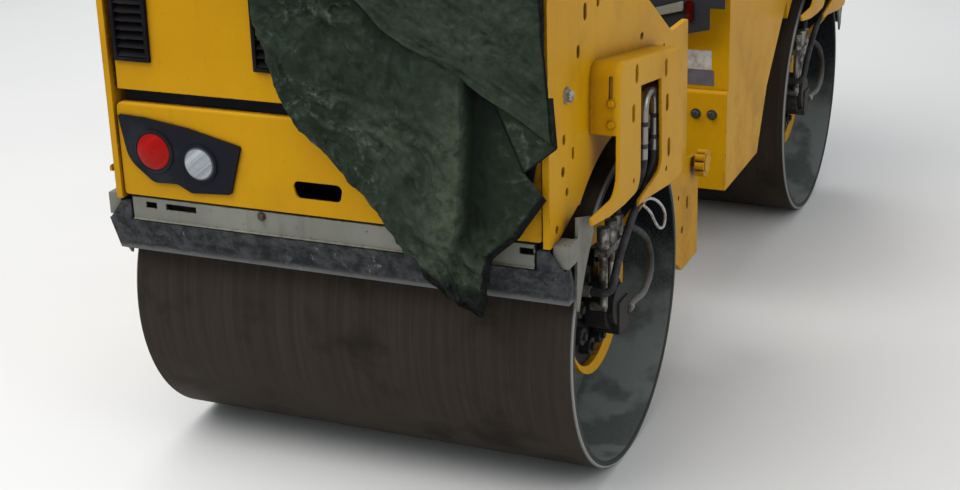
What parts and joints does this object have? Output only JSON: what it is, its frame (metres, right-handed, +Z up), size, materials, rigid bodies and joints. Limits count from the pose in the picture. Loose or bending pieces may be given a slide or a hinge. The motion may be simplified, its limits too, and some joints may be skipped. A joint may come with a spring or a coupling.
{
  "type": "road roller",
  "caption": "Small articulated tandem road roller with smooth drums, opening engine hood with a tarp, operator's seat and roll bar.",
  "frame": {"origin": "on the ground midway between the drums, below the articulation", "axes": "+Y forward, +X to the machine's right, +Z up"},
  "size_m": [1.08, 2.6615, 2.3399],
  "materials": {
    "yellow_paint": "satin enamel, dirty and chipped",
    "drum_steel": "worn dark rolling steel with asphalt film",
    "grey_paint": "weathered light grey-green paint",
    "dark_paint": "dark grey satin paint",
    "black_plastic": "moulded black plastic",
    "red_lens": "red moulded lens",
    "amber_lens": "amber moulded lens",
    "clear_lens": "clear ribbed lens over a reflector",
    "black_rubber": "weathered black rubber",
    "hose_rubber": "hydraulic hose",
    "engine_grey": "plain casting",
    "motor_black": "black hydraulic motor",
    "chrome_rod": "chromed rod",
    "tarp_cloth": "dark olive coated canvas",
    "seat_vinyl": "black vinyl",
    "bolt_steel": "zinc plated steel"
  },
  "bodies": {
    "rear_frame": {"rear_side_plates": "yellow_paint", "rear_cross_frame": "yellow_paint", "rear_lamp_panel": "yellow_paint", "rear_lamp_housings": "black_plastic", "rear_outer_lenses": "red_lens", "rear_inner_lenses": "clear_lens", "rear_scraper_bar": "grey_paint", "rear_scraper_flap": "black_rubber", "rear_hose_guards": "yellow_paint", "rear_drum_yokes": "yellow_paint", "rear_hub_motors": "motor_black", "rear_hoses": "hose_rubber", "engine_block": "engine_grey", "engine_bulkhead": "yellow_paint", "hood_hinge_pins": "bolt_steel", "articulation_fork": "yellow_paint", "leg_knobs": "yellow_paint", "hood_seal": "black_rubber", "rear_unions": "bolt_steel"},
    "rear_drum": {"rear_drum": "drum_steel"},
    "engine_hood": {"engine_hood": "yellow_paint", "hood_vents": "black_plastic", "tarp": "tarp_cloth"},
    "joint_block": {"joint_block": "dark_paint"},
    "cylinder_barrel": {"steering_cylinder_barrel": "motor_black"},
    "cylinder_rod": {"steering_cylinder_rod": "chrome_rod"},
    "front_frame": {"front_side_plates": "yellow_paint", "front_cross_frame": "yellow_paint", "front_lamp_panel": "yellow_paint", "front_lamp_housings": "black_plastic", "front_outer_lenses": "amber_lens", "front_inner_lenses": "clear_lens", "front_scraper_bar": "grey_paint", "front_scraper_flap": "black_rubber", "front_hose_guards": "yellow_paint", "front_drum_yokes": "yellow_paint", "front_hub_motors": "motor_black", "front_hoses": "hose_rubber", "swing_bearing": "yellow_paint", "side_boxes": "yellow_paint", "front_hood": "yellow_paint", "filler_cap": "black_plastic", "operator_floor": "dark_paint", "seat_base": "dark_paint", "seat_frame": "dark_paint", "seat_cushion": "seat_vinyl", "seat_back": "seat_vinyl", "roll_bar": "yellow_paint", "console": "black_plastic", "travel_lever": "black_plastic", "hand_rails": "yellow_paint", "towing_eye": "dark_paint", "front_unions": "bolt_steel", "floor_edge_bars": "grey_paint", "floor_reflectors": "red_lens"},
    "front_drum": {"front_drum": "drum_steel"},
    "steering_wheel": {"steering_wheel": "black_plastic"}
  },
  "joints": [
    {"name": "rear_drum_spin", "type": "hinge", "parent": "rear_frame", "child": "rear_drum", "pos_m": [0, -0.87, 0.35], "axis": [-1, 0, 0], "continuous": true},
    {"name": "steering", "type": "hinge", "parent": "rear_frame", "child": "joint_block", "pos_m": [0, 0, 0.47], "axis": [0, 0, 1], "range_deg": [-30, 30]},
    {"name": "oscillation", "type": "hinge", "parent": "joint_block", "child": "front_frame", "pos_m": [0, 0.17, 0.47], "axis": [0, 1, 0], "range_deg": [-8, 8]},
    {"name": "front_drum_spin", "type": "hinge", "parent": "front_frame", "child": "front_drum", "pos_m": [0, 0.87, 0.35], "axis": [-1, 0, 0], "continuous": true},
    {"name": "hood_lift", "type": "hinge", "parent": "rear_frame", "child": "engine_hood", "pos_m": [0, -0.795, 1.227], "axis": [-1, 0, 0], "range_deg": [0, 50]},
    {"name": "steering_wheel_turn", "type": "hinge", "parent": "front_frame", "child": "steering_wheel", "pos_m": [0, 0.42, 1.3], "axis": [0, -0.4695, 0.8829], "continuous": true},
    {"name": "barrel_swing", "type": "hinge", "parent": "rear_frame", "child": "cylinder_barrel", "pos_m": [-0.11, -0.38, 0.47], "axis": [0, 0, 1], "range_deg": [-3, 3]},
    {"name": "rod_slide", "type": "slide", "parent": "cylinder_barrel", "child": "cylinder_rod", "axis": [0.0158, 0.9999, 0], "range_m": [-0.054, 0.054]}
  ],
  "couplings": [
    {"joint": "barrel_swing", "follows": "steering", "ratio": 0.0784},
    {"joint": "rod_slide", "follows": "steering", "m_per_rad": -0.1011}
  ]
}
